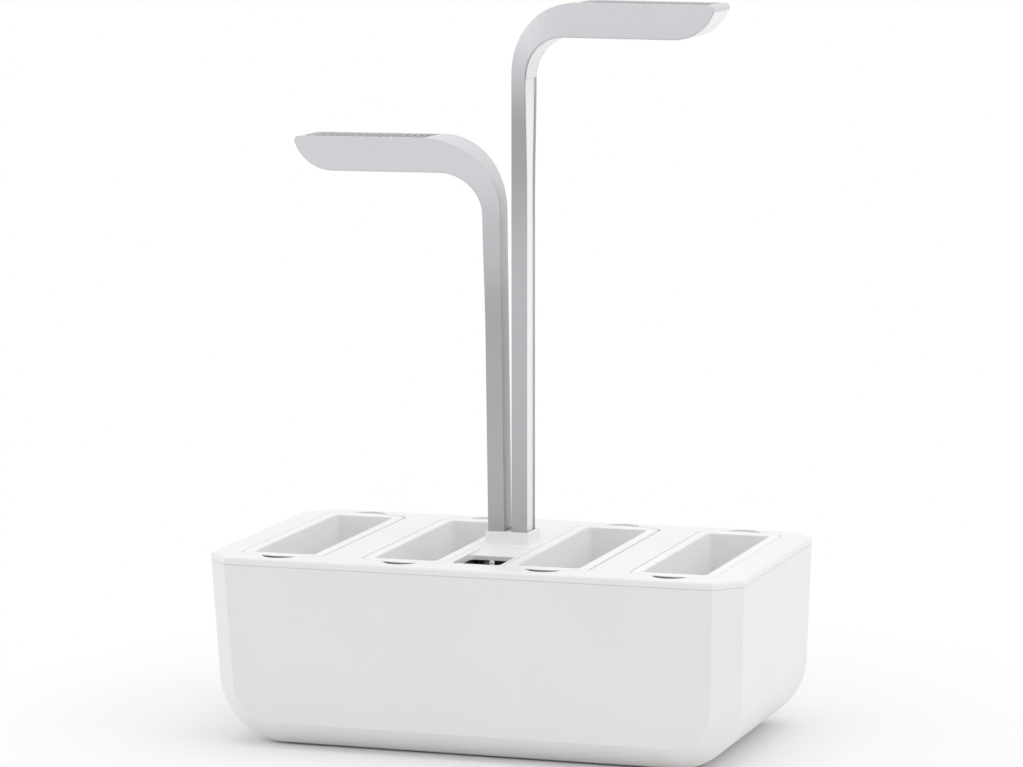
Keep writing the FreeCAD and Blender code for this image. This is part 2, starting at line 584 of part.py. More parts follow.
def head_grille(label):
    """Vent grille: a thin plate with a row of cross slots."""
    body = new_body(label)
    plate = outline(body, label + "_plate", "XY_Plane", "arm_height - grille_recess", rounded(
        "grille_start + grille_fit", "-grille_half + grille_fit", "grille_end - grille_fit",
        "grille_half - grille_fit", "grille_round"))
    feature = pad(body, label + "_plate_pad", plate, "arm_wall", down=True)
    slot = outline(body, label + "_slot", "XY_Plane", "arm_height", rectangle(
        "grille_start + 4", "-grille_half + 2.2", "grille_start + 6", "grille_half - 2.2"))
    first = pocket(body, label + "_slot_cut", slot, "arm_wall + 3")
    row = body.newObject("PartDesign::LinearPattern", label + "_row")
    row.Originals = [first]
    axis = [item for item in body.Origin.OriginFeatures if item.Role == "X_Axis"][0]
    row.Direction = (axis, [""])
    row.Length = value("grille_end - grille_start - 10")
    row.Occurrences = 16
    body.Tip = row
    return body


def led_group(label):
    """Two rows of light-emitting diodes under the board."""
    rows, columns = 2, 10
    pitch = value("board_end - board_start - 12") / (columns - 1)
    chips = []
    for row in range(rows):
        for column in range(columns):
            x = round(value("board_start + 6") + column * pitch, 3)
            y = -4.0 if row == 0 else 4.0
            chips.append(box(f"{label}_{row}_{column}",
                             (f"{x} - 1.5", f"{y} - 1.5", "board_low - led_thick"),
                             (f"{x} + 1.5", f"{y} + 1.5", "board_low")))
    return group(label, chips)


def end_plug(label):
    """Plug in the foot of the post. Its nose runs in the guide's groove and stops the arm."""
    body = new_body(label)
    corners = [
        ("arm_wall + slide_gap", "0"), ("post_width + nose_reach", "0"),
        ("post_width + nose_reach", "nose_tall"), ("post_width - cover_recess", "nose_tall"),
        ("post_width - cover_recess", "plug_height"), ("arm_wall + slide_gap", "plug_height")]
    side_view = outline(body, label + "_outline", "XZ_Plane", "0", corners)
    pad(body, label + "_pad", side_view, "40", middle=True)
    inside = common(label + "_inside", [body, arm_depth(label + "_depth", value("arm_wall + slide_gap"))])
    sides = [box(f"{label}_side_{number}", ("post_width - cover_recess", low, "-1"),
                 ("post_width + 4", high, "nose_tall + 1"))
             for number, (low, high) in enumerate((("-20", "-nose_half"), ("nose_half", "20")))]
    return cut(label, inside, sides)


def brush_pair(label):
    """Two sprung contacts that lean on the rails."""
    blocks = [box(f"{label}_{number}", ("post_width - cover_recess", f"{y} - 0.8", "0.6"),
                  ("post_width + brush_reach", f"{y} + 0.8", "nose_tall"))
              for number, y in enumerate(("-rail_y", "rail_y"))]
    return group(label, blocks)


def arm_placement(side):
    """Where the arm's own frame stands: leaning outwards about the top of the collar."""
    sign = 1 if side == "right" else -1
    lean = FreeCAD.Rotation(V(0, 1, 0), SIZES[side + "_lean"])
    turn = lean if sign > 0 else FreeCAD.Rotation(V(0, 0, 1), 180).multiply(lean)
    foot_z = value(f"seam_z - arm_floor + {side}_raise")
    pivot = V(sign * SIZES[side + "_back_x"], 0, SIZES["collar_top"])
    base = pivot - turn.multVec(V(0, 0, SIZES["collar_top"] - foot_z))
    return FreeCAD.Placement(base, turn)


for side in ("left", "right"):
    hollow = arm_plate(side + "_hollow", arm_hollow(), "arm_wall")
    solid_arm = arm_plate(side + "_solid", arm_outside(), "0")
    vent_body = new_body(side + "_vent")
    vent_sketch = outline(vent_body, side + "_vent_outline", "XY_Plane", "arm_height - 4", rounded(
        "grille_start", "-grille_half", "grille_end", "grille_half", "grille_round"))
    pad(vent_body, side + "_vent_pad", vent_sketch, "8")
    arm_pieces = {
        "arm_shell": cut(side + "_shell", solid_arm, [hollow, vent_body]),
        "post_cover": arm_plate(side + "_cover", rectangle(
            "post_width - cover_recess - cover_thick", "cover_foot", "post_width - cover_recess",
            "joint_z"), "arm_wall + slide_gap"),
        "diffuser": arm_plate(side + "_light_strip", diffuser_side(), "arm_wall + slide_gap"),
        "head_grille": head_grille(side + "_grille"),
        "led_board": arm_plate(side + "_board", rectangle(
            "board_start", "board_low", "board_end", "board_top"), "arm_wall + slide_gap"),
        "leds": led_group(side + "_chips"),
        "lead": flat_lead(side + "_flat_lead"),
        "end_plug": end_plug(side + "_plug"),
        "brushes": brush_pair(side + "_brush_pair"),
    }
    for label, item in arm_pieces.items():
        placed = piece(group(f"{side}_{label}_placed", [item]), f"{side}_{label}")
        placed.Placement = arm_placement(side)


def arm_channel(label, side, profile, low, high):
    """Straight prism along the way an arm slides. The profile is given in the arm's own frame."""
    foot = value(f"seam_z - arm_floor + {side}_raise")
    points = [V(x, y, low - foot) for x, y in profile]
    item = doc.addObject("Part::Feature", label)
    item.Shape = Part.Face(Part.makePolygon(points + points[:1])).extrude(V(0, 0, high - low))
    item.Placement = arm_placement(side)
    return item


def arm_passage(label, side, low, high):
    """Clear passage for one arm's post."""
    gap = SIZES["hole_gap"]
    back, front = -gap, SIZES["post_width"] + gap
    half_back, half_front = SIZES["post_back_half"] + gap, SIZES["post_open_half"] + gap
    return arm_channel(label, side, [(back, -half_back), (front, -half_front), (front, half_front),
                                     (back, half_back)], low, high)


def block_profile(low_x, low_y, high_x, high_y):
    return [(low_x, low_y), (high_x, low_y), (high_x, high_y), (low_x, high_y)]


# Lid: flat cover with a skirt inside the tub, seats and openings for the trays, finger scoops, the
# filling window with a ramp that leads to it, and the collar that the arms come out of.
lid_body = new_body("lid_form")
lid_outline = outline(lid_body, "lid_outline", "XY_Plane", "seam_z", bevelled(
    "outer_top_x", "outer_top_y", "corner_bevel"))
pad(lid_body, "lid_plate_pad", lid_outline, "lid_height")
collar_outline = outline(lid_body, "collar_outline", "XY_Plane", "lid_top", rounded(
    "-collar_half_x", "-collar_half_y", "collar_half_x", "collar_half_y", "collar_round"))
collar_pad = pad(lid_body, "collar_pad", collar_outline, "collar_height", taper="-collar_taper")
doc.recompute()


def collar_foot(edge):
    low = edge.BoundBox
    inside = abs(low.XMin) < 20 and abs(low.XMax) < 20
    return inside and abs(low.ZMin - value("lid_top")) < 0.01 and low.ZLength < 0.01


def lid_low_edge(edge):
    low = edge.BoundBox
    return abs(low.ZMin - value("seam_z")) < 0.01 and low.ZLength < 0.01


def lid_top_edge(edge):
    low = edge.BoundBox
    outside = max(abs(low.XMin), abs(low.XMax)) > 100
    return outside and abs(low.ZMin - value("lid_top")) < 0.01 and low.ZLength < 0.01


def collar_top_edge(edge):
    low = edge.BoundBox
    return abs(low.ZMin - value("collar_top")) < 0.01 and low.ZLength < 0.01


collar_flare = soften(lid_body, "Fillet", "collar_flare", collar_pad,
                      edge_names(collar_pad.Shape, collar_foot), "Radius", "3")
doc.recompute()
lid_edge = soften(lid_body, "Fillet", "lid_edge", collar_flare,
                  edge_names(collar_flare.Shape, lid_top_edge), "Radius", "lid_round")
doc.recompute()
lid_lower_edge = soften(lid_body, "Fillet", "lid_lower_edge", lid_edge,
                        edge_names(lid_edge.Shape, lid_low_edge), "Radius", "edge_round")
doc.recompute()
soften(lid_body, "Fillet", "collar_lip", lid_lower_edge,
       edge_names(lid_lower_edge.Shape, collar_top_edge), "Radius", "0.5")

under_body = new_body("lid_underside")
under_outline = outline(under_body, "under_outline", "XY_Plane", "seam_z - 1", bevelled(
    "skirt_x - skirt_wall", "skirt_y - skirt_wall", "corner_bevel - 1"))
pad(under_body, "under_pad", under_outline, "lid_height - lid_plate + 1")
skirt_body = new_body("lid_skirt")
skirt_outline = outline(skirt_body, "skirt_outline", "XY_Plane", "seam_z", bevelled(
    "skirt_x", "skirt_y", "corner_bevel - 0.5"))
pad(skirt_body, "skirt_pad", skirt_outline, "skirt_drop", down=True)
skirt_inside = outline(skirt_body, "skirt_inside", "XY_Plane", "seam_z", bevelled(
    "skirt_x - skirt_wall", "skirt_y - skirt_wall", "corner_bevel - 1"))
pocket(skirt_body, "skirt_inside_cut", skirt_inside, "skirt_drop + 1")

frames, seats, scoops, bosses = [], [], [], []
for number, place_x, _, fit in TRAYS:
    frames.append(box(f"tray_frame_{number}",
                      (f"{place_x} - frame_half_x", "tray_y - frame_half_y", "seam_z - frame_drop"),
                      (f"{place_x} + frame_half_x", "tray_y + frame_half_y", "plate_low + 0.5")))
    seat_body = new_body(f"tray_seat_{number}")
    seat = outline(seat_body, f"seat_outline_{number}", "XY_Plane", "lid_top + 1", curved_ends(
        f"{fit}_seat_half_x", f"{fit}_seat_side", f"{fit}_seat_arc"))
    seat_pad = pad(seat_body, f"seat_pad_{number}", seat, "rim_seat + drain_depth + 1", down=True)
    doc.recompute()
    soften(seat_body, "Fillet", f"seat_corners_{number}", seat_pad, upright_edges(seat_pad.Shape),
           "Radius", "seat_round")
    land = outline(seat_body, f"land_outline_{number}", "XY_Plane", "lid_top - rim_seat", curved_ends(
        f"{fit}_land_half_x", f"{fit}_land_side", f"{fit}_land_arc"))
    pocket(seat_body, f"land_{number}", land, "drain_depth + 1")
    opening = outline(seat_body, f"opening_outline_{number}", "XY_Plane", "lid_top - rim_seat + 0.5", rounded(
        "-opening_half_x", "-opening_half_y", "opening_half_x", "opening_half_y", "tray_round"))
    pad(seat_body, f"opening_pad_{number}", opening, "lid_height + 2.5", down=True)
    bind(seat_body, "Placement.Base.x", place_x)
    bind(seat_body, "Placement.Base.y", "tray_y")
    seats.append(seat_body)
    for end, sign in (("front", "-"), ("back", "+")):
        spot = (place_x, f"tray_y {sign} scoop_y")
        scoops.append(cylinder(f"scoop_{end}_{number}", "scoop_radius",
                               (*spot, "lid_top - scoop_depth"), "scoop_depth + 1"))
        bosses.append(cylinder(f"scoop_boss_{end}_{number}", "scoop_radius + scoop_wall",
                               (*spot, "seam_z"), "plate_low + 0.5 - seam_z"))

spine = box("lid_spine", ("-spine_half", "-frame_half_y - 1", "spine_low"),
            ("spine_half", "skirt_y - skirt_wall + 0.5", "plate_low + 0.5"))

window_body = new_body("filling_window")
window_outline = outline(window_body, "window_outline", "XY_Plane", "lid_top + 1", rounded(
    "-window_left", "-window_front", "window_right", "-window_back", "window_round"))
pad(window_body, "window_pad", window_outline, "lid_height + 3", down=True)
ramp_body = new_body("window_ramp")
ramp_side = outline(ramp_body, "ramp_side", "YZ_Plane", "-window_left", [
    ("-ramp_start", "lid_top"), ("-ramp_start", "lid_top + 1"), ("-window_back - 6", "lid_top + 1"),
    ("-window_back - 6", "lid_top - ramp_drop"), ("-window_back", "lid_top - ramp_drop")])
pad(ramp_body, "ramp_pad", ramp_side, "window_left + window_right")

arm_holes = [arm_passage(f"{side}_collar_hole", side, SIZES["seam_z"] - 12, SIZES["collar_top"] + 4)
             for side in ("left", "right")]
screw_spots = [(f"{sx}screw_x", f"{sy}screw_y") for sx in ("-", "") for sy in ("-", "")]
box_screw_spots = [("-11.6", "60"), ("11.6", "60"), ("0", "25.6")]
screw_holes = [
    cylinder(f"lid_screw_hole_{number}", "screw_radius + screw_gap", (x, y, "spine_low - 1"),
             "screw_length - flange_thick + 1.2")
    for number, (x, y) in enumerate(screw_spots + box_screw_spots)]
skirt_gap = box("skirt_gap", ("-notch_half - 0.6", "skirt_y - skirt_wall - 1", "seam_z - skirt_drop - 1"),
                ("notch_half + 0.6", "outer_top_y - 0.5", "seam_z"))
lid_open = cut("lid_hollowed", lid_body, [under_body])
lid_full = union("lid_full", [lid_open, skirt_body, spine] + frames + bosses)
piece(cut("lid_cut", lid_full,
          seats + scoops + [window_body, ramp_body, skirt_gap] + arm_holes + screw_holes), "lid")

# Guide shaft: a closed box under the lid with one passage for each arm. A groove in each side wall
# takes the nose of the arm's end plug and carries two contact rails. Pads in the rib between the
# passages hold an arm where it is put.
guide_block = box("guide_block", ("-guide_half_x", "-guide_half_y", "guide_low"),
                  ("guide_half_x", "guide_half_y", "guide_top"))
guide_flange = box("guide_flange", ("-guide_half_x", "-flange_half_y", "guide_top - flange_thick"),
                   ("guide_half_x", "flange_half_y", "guide_top"))
groove_front = value("post_width + hole_gap + groove_deep")
pad_front = -SIZES["slide_gap"]
pad_back = pad_front - SIZES["pad_thick"]
guide_cuts = []
for side in ("left", "right"):
    low, high = SIZES["guide_low"], SIZES["guide_top"]
    groove_high = value("seam_z - groove_top")
    guide_cuts.append(arm_passage(f"{side}_passage", side, low - 2, high + 2))
    guide_cuts.append(arm_channel(
        f"{side}_groove", side, block_profile(SIZES["post_width"], -SIZES["groove_half"], groove_front,
                                              SIZES["groove_half"]), low - 2, groove_high))
    pad_low, pad_high = value("seam_z - pad_top - pad_height"), value("seam_z - pad_top")
    pad_profile = block_profile(pad_back, -SIZES["pad_half"], pad_front, SIZES["pad_half"])
    guide_cuts.append(arm_channel(f"{side}_pad_recess", side, pad_profile, pad_low, pad_high))
    piece(arm_channel(f"{side}_pad", side, pad_profile, pad_low, pad_high), f"{side}_brake_pad")
    rails = []
    for y in (-SIZES["rail_y"], SIZES["rail_y"]):
        rails.append(arm_channel(
            f"{side}_rail_{len(rails)}", side,
            block_profile(groove_front - SIZES["rail_thick"], y - SIZES["rail_half"], groove_front,
                          y + SIZES["rail_half"]), low + 0.5, groove_high))
    piece(group(f"{side}_rails", rails), f"{side}_contact_rails")
guide_cuts += [
    cylinder(f"guide_screw_hole_{number}", "screw_radius + screw_gap",
             (x, y, "guide_top - flange_thick - 1"), "flange_thick + 2")
    for number, (x, y) in enumerate(screw_spots)]
piece(cut("guide_shaft", union("guide_full", [guide_block, guide_flange]), guide_cuts), "arm_guide")


def ring(label, low, high, wall):
    """Rectangular ring between two corners, with the given wall."""
    inside_low = [f"{low[0]} + {wall}", f"{low[1]} + {wall}", f"{low[2]} - 1"]
    inside_high = [f"{high[0]} - {wall}", f"{high[1]} - {wall}", f"{high[2]} + 1"]
    return cut(label, box(label + "_block", low, high), [box(label + "_hole", inside_low, inside_high)])


piece(ring("shaft_seal", ("-guide_half_x", "-guide_half_y", "seal_low"),
           ("guide_half_x", "guide_half_y", "guide_low"), "cap_lip"), "guide_seal")
piece(box("shaft_cap", ("-guide_half_x", "-guide_half_y", "cap_low"),
          ("guide_half_x", "guide_half_y", "seal_low")), "guide_cap")

# Dry box behind the shaft: it holds the control board and, in a tab through the tub's back wall, the
# inlet for the supply lead. Three screws in sleeves pull it up against its seal.
outer_box = box("dry_box_block", ("-box_half_x", "box_front", "box_low"),
                ("box_half_x", "box_back", "box_top"))
inlet_tab = box("inlet_tab", ("-tab_half", "box_back - 1", "seam_z - notch_depth + 0.4"),
                ("tab_half", "tab_back", "box_top"))
inner_box = box("dry_box_inside", ("-box_half_x + box_wall", "box_front + box_wall", "box_low + box_wall"),
                ("box_half_x - box_wall", "box_back - box_wall", "box_top + 1"))
sleeves = [cylinder(f"screw_sleeve_{number}", "sleeve_radius", (x, y, "box_low"),
                    "box_top - box_low") for number, (x, y) in enumerate(box_screw_spots)]
board_posts = [cylinder(f"board_post_{number}", "post_radius", (x, y, "box_low"), "pcb_low - box_low")
               for number, (x, y) in enumerate([(sx + "9.6", y) for sx in ("-", "") for y in ("33", "51")])]
box_cuts = [cylinder(f"sleeve_bore_{number}", "screw_head + 0.3", (x, y, "box_low - 1"),
                     "screw_seat - box_low + 1") for number, (x, y) in enumerate(box_screw_spots)]
box_cuts += [cylinder(f"sleeve_hole_{number}", "screw_radius + screw_gap", (x, y, "screw_seat - 1"),
                      "4") for number, (x, y) in enumerate(box_screw_spots)]
box_cuts.append(cylinder("inlet_hole", "inlet_radius + inlet_gap", ("0", "box_back - 6", "inlet_z"),
                         "14", "y"))
hollow_box = cut("dry_box_hollow", union("dry_box_outside", [outer_box, inlet_tab]), [inner_box])
piece(cut("dry_box", union("dry_box_full", [hollow_box] + sleeves + board_posts), box_cuts),
      "board_housing")

box_seal = ring("box_seal_ring", ("-box_half_x", "box_front", "box_top"),
                ("box_half_x", "box_back", "spine_low"), "box_wall")
seal_pads = [cylinder(f"seal_pad_{number}", "sleeve_radius", (x, y, "box_top"), "box_seal")
             for number, (x, y) in enumerate(box_screw_spots)]
seal_holes = [cylinder(f"seal_hole_{number}", "screw_radius + screw_gap", (x, y, "box_top - 1"),
                       "box_seal + 2") for number, (x, y) in enumerate(box_screw_spots)]
piece(cut("box_seal_cut", union("box_seal_full", [box_seal] + seal_pads), seal_holes), "housing_seal")

screws = []
for number, (x, y) in enumerate(screw_spots + box_screw_spots):
    screws.append(union(f"screw_{number}", [
        cylinder(f"screw_shank_{number}", "screw_radius", (x, y, "screw_seat"), "screw_length"),
        cylinder(f"screw_head_{number}", "screw_head", (x, y, "screw_seat - 1.6"), "1.6")]))
piece(group("screw_set", screws), "housing_screws")

piece(box("circuit_board", ("-pcb_half", "pcb_front", "pcb_low"),
          ("pcb_half", "pcb_back", "pcb_low + board_thick")), "control_board")
board_parts = [
    cylinder("storage_capacitor", "4", ("-6", "36", "pcb_low + board_thick"), "10"),
    box("coil", ("1", "31.5", "pcb_low + board_thick"), ("10", "40.5", "pcb_low + board_thick + 4.5")),
    box("driver_chip", ("-8", "43.5", "pcb_low + board_thick"), ("-2", "48.5", "pcb_low + board_thick + 1.4")),
    box("timer_chip", ("2", "44", "pcb_low + board_thick"), ("9", "50", "pcb_low + board_thick + 1.2")),
    box("lead_socket", ("-4.5", "50.5", "pcb_low + board_thick"), ("0.5", "55", "pcb_low + board_thick + 5"))]
piece(group("board_part_set", board_parts), "board_parts")

inlet_body = cut("inlet_barrel", cylinder("inlet_outside", "inlet_radius", ("0", "inlet_front", "inlet_z"),
                                          "tab_back - 0.6 - inlet_front", "y"),
                 [cylinder("inlet_bore", "inlet_bore", ("0", "tab_back - 0.6 - inlet_bore_depth", "inlet_z"),
                           "inlet_bore_depth + 1", "y")])
inlet_pin = cylinder("inlet_pin", "inlet_pin", ("0", "tab_back - 1.6 - inlet_bore_depth", "inlet_z"),
                     "inlet_bore_depth", "y")
piece(union("inlet", [inlet_body, inlet_pin]), "dc_inlet")

nut_body = new_body("hex_nut")
nut_half = SIZES["nut_flats"]
nut_corner = SIZES["nut_flats"] / math.cos(math.pi / 6)
nut_points = [(f"{sx}{nut_half:.4f}", f"inlet_z {sz} {nut_corner / 2:.4f}") for sx, sz in
              (("-", "-"), ("", "-"), ("", "+"), ("-", "+"))]
nut_outline = outline(nut_body, "nut_outline", "XZ_Plane", "nut_thick - box_back + box_wall", [
    nut_points[0], ("0", f"inlet_z - {nut_corner:.4f}"), nut_points[1], nut_points[2],
    ("0", f"inlet_z + {nut_corner:.4f}"), nut_points[3]])
pad(nut_body, "nut_pad", nut_outline, "nut_thick", down=True)
nut_hole = cylinder("nut_hole", "inlet_radius + inlet_gap", ("0", "box_back - box_wall - nut_thick - 1", "inlet_z"),
                    "nut_thick + 2", "y")
piece(cut("nut", nut_body, [nut_hole]), "inlet_nut")

# Water level: a float in an open cage on the front of the shaft lifts a stick into the filling window.
cage_low_x, cage_high_x = "float_x - cage_half", "float_x + cage_half"
cage_parts = [
    box("cage_back", (cage_low_x, "-guide_half_y - cage_thick", "cage_low"),
        (cage_high_x, "-guide_half_y", "cage_high")),
    box("cage_arm", (cage_low_x, "-cage_reach", "cage_high - cage_arm"),
        (cage_high_x, "-guide_half_y", "cage_high")),
    box("cage_floor", (cage_low_x, "-cage_reach", "cage_low"),
        (cage_high_x, "-guide_half_y", "cage_low + cage_thick"))]
cage_hole = cylinder("cage_hole", "stick_radius + stick_gap", ("float_x", "float_y", "cage_high - 6"), "12")
piece(cut("cage", union("cage_full", cage_parts), [cage_hole]), "float_cage")
piece(cylinder("float_drum", "float_radius", ("float_x", "float_y", "float_bottom"), "float_tall"),
      "level_float")
piece(cylinder("gauge_stick", "stick_radius", ("float_x", "float_y", "float_bottom + float_tall"),
               "stick_top - float_bottom - float_tall"), "level_stick")

doc.recompute()
for item in doc.Objects:
    if "Invalid" in item.State or "Error" in item.State:
        raise RuntimeError(f"{item.Name} failed: {item.State}")
for item in pieces:
    shape = item.Shape
    if shape.isNull() or not shape.isValid():
        raise RuntimeError(f"{item.Label} has a bad shape")
    low = shape.BoundBox
    print(f"{item.Label:22s} solids {len(shape.Solids):2d}  volume {shape.Volume / 1000:8.2f} cm3  "
          f"x {low.XMin:7.2f} {low.XMax:7.2f}  y {low.YMin:7.2f} {low.YMax:7.2f}  "
          f"z {low.ZMin:7.2f} {low.ZMax:7.2f}")
    shape.exportStep(os.path.join("parts", item.Label + ".step"))
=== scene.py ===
import bpy, bmesh
import math
from mathutils import Matrix, Vector


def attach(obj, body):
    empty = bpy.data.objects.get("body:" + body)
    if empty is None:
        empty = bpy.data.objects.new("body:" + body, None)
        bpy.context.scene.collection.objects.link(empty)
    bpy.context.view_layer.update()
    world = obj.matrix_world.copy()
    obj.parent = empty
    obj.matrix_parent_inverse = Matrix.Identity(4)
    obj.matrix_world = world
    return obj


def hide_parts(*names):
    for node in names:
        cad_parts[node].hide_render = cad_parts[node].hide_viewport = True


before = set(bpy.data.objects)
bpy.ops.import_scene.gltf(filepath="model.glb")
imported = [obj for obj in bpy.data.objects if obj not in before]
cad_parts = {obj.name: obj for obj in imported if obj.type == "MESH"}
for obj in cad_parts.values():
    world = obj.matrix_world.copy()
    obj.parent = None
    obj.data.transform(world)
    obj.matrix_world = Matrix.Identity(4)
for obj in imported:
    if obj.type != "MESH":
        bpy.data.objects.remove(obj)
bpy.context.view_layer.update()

# Tub. The water tank is one white injection moulding with a satin skin. Its walls draw in downwards,
# so that it leaves the mould, and its corners and ends are bevelled in one sweep.
def named_material(name):
    """A material with one Principled shader, and its nodes and links."""
    material = bpy.data.materials.new(name)
    material.use_nodes = True
    tree = material.node_tree
    return material, tree, tree.nodes["Principled BSDF"]


def feed(tree, socket, given):
    """Link a socket to another one, or set its value."""
    if isinstance(given, bpy.types.NodeSocket):
        tree.links.new(given, socket)
    else:
        socket.default_value = given


def add(tree, kind, **inputs):
    """A shader node with its inputs set by name. An input given as a socket is linked."""
    node = tree.nodes.new(kind)
    for name, given in inputs.items():
        feed(tree, node.inputs[name.replace("_", " ")], given)
    return node


def spread(tree, share, **ends):
    """A value carried from one range to another: From_Min, From_Max, To_Min and To_Max."""
    return add(tree, "ShaderNodeMapRange", Value=share, **ends).outputs[0]


def reckon(tree, operation, first, second):
    """The result of one sum on two values."""
    node = tree.nodes.new("ShaderNodeMath")
    node.operation = operation
    feed(tree, node.inputs[0], first)
    feed(tree, node.inputs[1], second)
    return node.outputs[0]


def blend_of(tree, factor, first, second):
    """Colour that goes from the first to the second as the factor goes from 0 to 1."""
    mix = tree.nodes.new("ShaderNodeMix")
    mix.data_type = "RGBA"
    for number, given in ((0, factor), (6, first), (7, second)):
        feed(tree, mix.inputs[number], (*given, 1) if isinstance(given, tuple) else given)
    return mix.outputs[2]


def open_group(name, inputs, outputs):
    """An empty node group with named inputs and outputs."""
    group = bpy.data.node_groups.new(name, "ShaderNodeTree")
    for label, kind, start in inputs:
        socket = group.interface.new_socket(label, in_out="INPUT", socket_type=kind)
        socket.default_value = start
    for label, kind in outputs:
        group.interface.new_socket(label, in_out="OUTPUT", socket_type=kind)
    return group, group.nodes.new("NodeGroupInput").outputs, group.nodes.new("NodeGroupOutput").inputs


def moulded_skin_group():
    """Satin skin of a plastic moulding: fine spark texture, faint clouds of tone and of gloss."""
    group, given, wanted = open_group(
        "moulded_skin",
        [("Light", "NodeSocketColor", (0.9, 0.9, 0.9, 1)), ("Dark", "NodeSocketColor", (0.8, 0.8, 0.8, 1)),
         ("Grain", "NodeSocketFloat", 2500.0), ("Gloss low", "NodeSocketFloat", 0.3),
         ("Gloss high", "NodeSocketFloat", 0.45)],
        [("Colour", "NodeSocketColor"), ("Roughness", "NodeSocketFloat"), ("Height", "NodeSocketFloat")])
    place = add(group, "ShaderNodeTexCoord").outputs["Object"]
    clouds = add(group, "ShaderNodeTexNoise", Vector=place, Scale=14.0, Detail=4.0)
    grain = add(group, "ShaderNodeTexNoise", Vector=place, Scale=given["Grain"], Detail=2.0)
    flow = add(group, "ShaderNodeTexNoise", Vector=place, Scale=60.0, Detail=3.0)
    tone = spread(group, clouds.outputs["Fac"], From_Min=0.3, From_Max=0.7)
    group.links.new(blend_of(group, tone, given["Dark"], given["Light"]), wanted["Colour"])
    gloss = spread(group, flow.outputs["Fac"], From_Min=0.3, From_Max=0.7,
                   To_Min=given["Gloss low"], To_Max=given["Gloss high"])
    group.links.new(gloss, wanted["Roughness"])
    group.links.new(grain.outputs["Fac"], wanted["Height"])
    return group


def edge_mask_group():
    """Mask of a piece's outside edges, where a painted highlight lightens a surface."""
    group, given, wanted = open_group(
        "edge_mask", [("Width", "NodeSocketFloat", 0.0006)],
        [("Mask", "NodeSocketFloat"), ("Normal", "NodeSocketVector")])
    rounded = add(group, "ShaderNodeBevel", Radius=given["Width"])
    rounded.samples = 4
    flat = add(group, "ShaderNodeNewGeometry").outputs["Normal"]
    turn = group.nodes.new("ShaderNodeVectorMath")
    turn.operation = "DOT_PRODUCT"
    group.links.new(rounded.outputs[0], turn.inputs[0])
    group.links.new(flat, turn.inputs[1])
    group.links.new(spread(group, turn.outputs["Value"], From_Min=0.995, From_Max=0.9), wanted["Mask"])
    group.links.new(rounded.outputs[0], wanted["Normal"])
    return group


def crevice_mask_group():
    """Mask of narrow gaps and inner corners, where little light comes: it places painted shade."""
    group, given, wanted = open_group(
        "crevice_mask", [("Reach", "NodeSocketFloat", 0.003)], [("Mask", "NodeSocketFloat")])
    closed = add(group, "ShaderNodeAmbientOcclusion", Distance=given["Reach"])
    closed.samples = 8
    group.links.new(spread(group, closed.outputs["AO"], From_Min=0.55, From_Max=0.15), wanted["Mask"])
    return group


moulded_skin = moulded_skin_group()
edge_mask = edge_mask_group()
crevice_mask = crevice_mask_group()


def place_group(tree, group, **inputs):
    node = tree.nodes.new("ShaderNodeGroup")
    node.node_tree = group
    for name, given in inputs.items():
        feed(tree, node.inputs[name.replace("_", " ")], given)
    return node


# Share and gain of the painted highlight on the edges.
EDGE_HIGHLIGHT_SHARE, EDGE_HIGHLIGHT_GAIN = 0.35, 1.04
# Share and tone of the painted shade in gaps and inner corners.
GAP_SHADE_SHARE, GAP_SHADE_TONE = 0.6, 0.45


def moulding(name, light, dark, gloss, grain=2500.0, depth=0.00002, edge=0.0006, edge_gain=1.0):
    """Plastic moulding: skin texture, edges lightened a little by a painted highlight, painted shade in the
    gaps.
    """
    material, tree, shader = named_material(name)
    skin = place_group(tree, moulded_skin, Light=(*light, 1), Dark=(*dark, 1), Grain=grain,
                       Gloss_low=gloss[0], Gloss_high=gloss[1])
    edges = place_group(tree, edge_mask, Width=edge)
    # Painted highlight: the edges are blended towards a lighter copy of the colour.
    edge_highlighted = blend_of(tree, reckon(tree, "MULTIPLY", edges.outputs["Mask"], EDGE_HIGHLIGHT_SHARE * edge_gain),
                    skin.outputs["Colour"], tuple(min(1.0, EDGE_HIGHLIGHT_GAIN * part) for part in light))
    # Painted shade: gaps and inner corners are blended towards a darker copy of the colour.
    gap_shade_node = place_group(tree, crevice_mask, Reach=0.003)
    gap_shaded = blend_of(tree, reckon(tree, "MULTIPLY", gap_shade_node.outputs["Mask"], GAP_SHADE_SHARE), edge_highlighted,
                     tuple(GAP_SHADE_TONE * part for part in light))
    tree.links.new(gap_shaded, shader.inputs["Base Color"])
    tree.links.new(skin.outputs["Roughness"], shader.inputs["Roughness"])
    bump = add(tree, "ShaderNodeBump", Height=skin.outputs["Height"], Normal=edges.outputs["Normal"],
               Distance=depth, Strength=0.6)
    tree.links.new(bump.outputs[0], shader.inputs["Normal"])
    return material, tree, shader


def dress(material, *names):
    """Give CAD pieces their material."""
    for name in names:
        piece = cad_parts[name]
        piece.data.materials.clear()
        piece.data.materials.append(material)


tub_white, _, shader = moulding("tub_white", (0.88, 0.885, 0.875), (0.86, 0.865, 0.855), (0.32, 0.4),
                                depth=0.00001)
shader.inputs["Specular IOR Level"].default_value = 0.4
dress(tub_white, "tub")

# Rubber feet. Four soft pale discs pressed into pockets in the tub's underside, so that it doesn't
# slide. They are moulded rubber with a dull, slightly dusty skin.
foot_rubber, *_ = moulding("foot_rubber", (0.55, 0.55, 0.54), (0.48, 0.48, 0.47), (0.75, 0.9),
                                  grain=900.0, depth=0.00008)
dress(foot_rubber, "rubber_feet")

# Lid. A thin white moulding that closes the tub: it carries the trays, the arms and the filling window.
# Its top has the same satin skin as the tub, in a slightly lighter white that is a painted highlight of the
# top.
lid_white, *_ = moulding("lid_white", (0.90, 0.905, 0.895), (0.88, 0.885, 0.875), (0.34, 0.42),
                                depth=0.00001)
dress(lid_white, "lid")

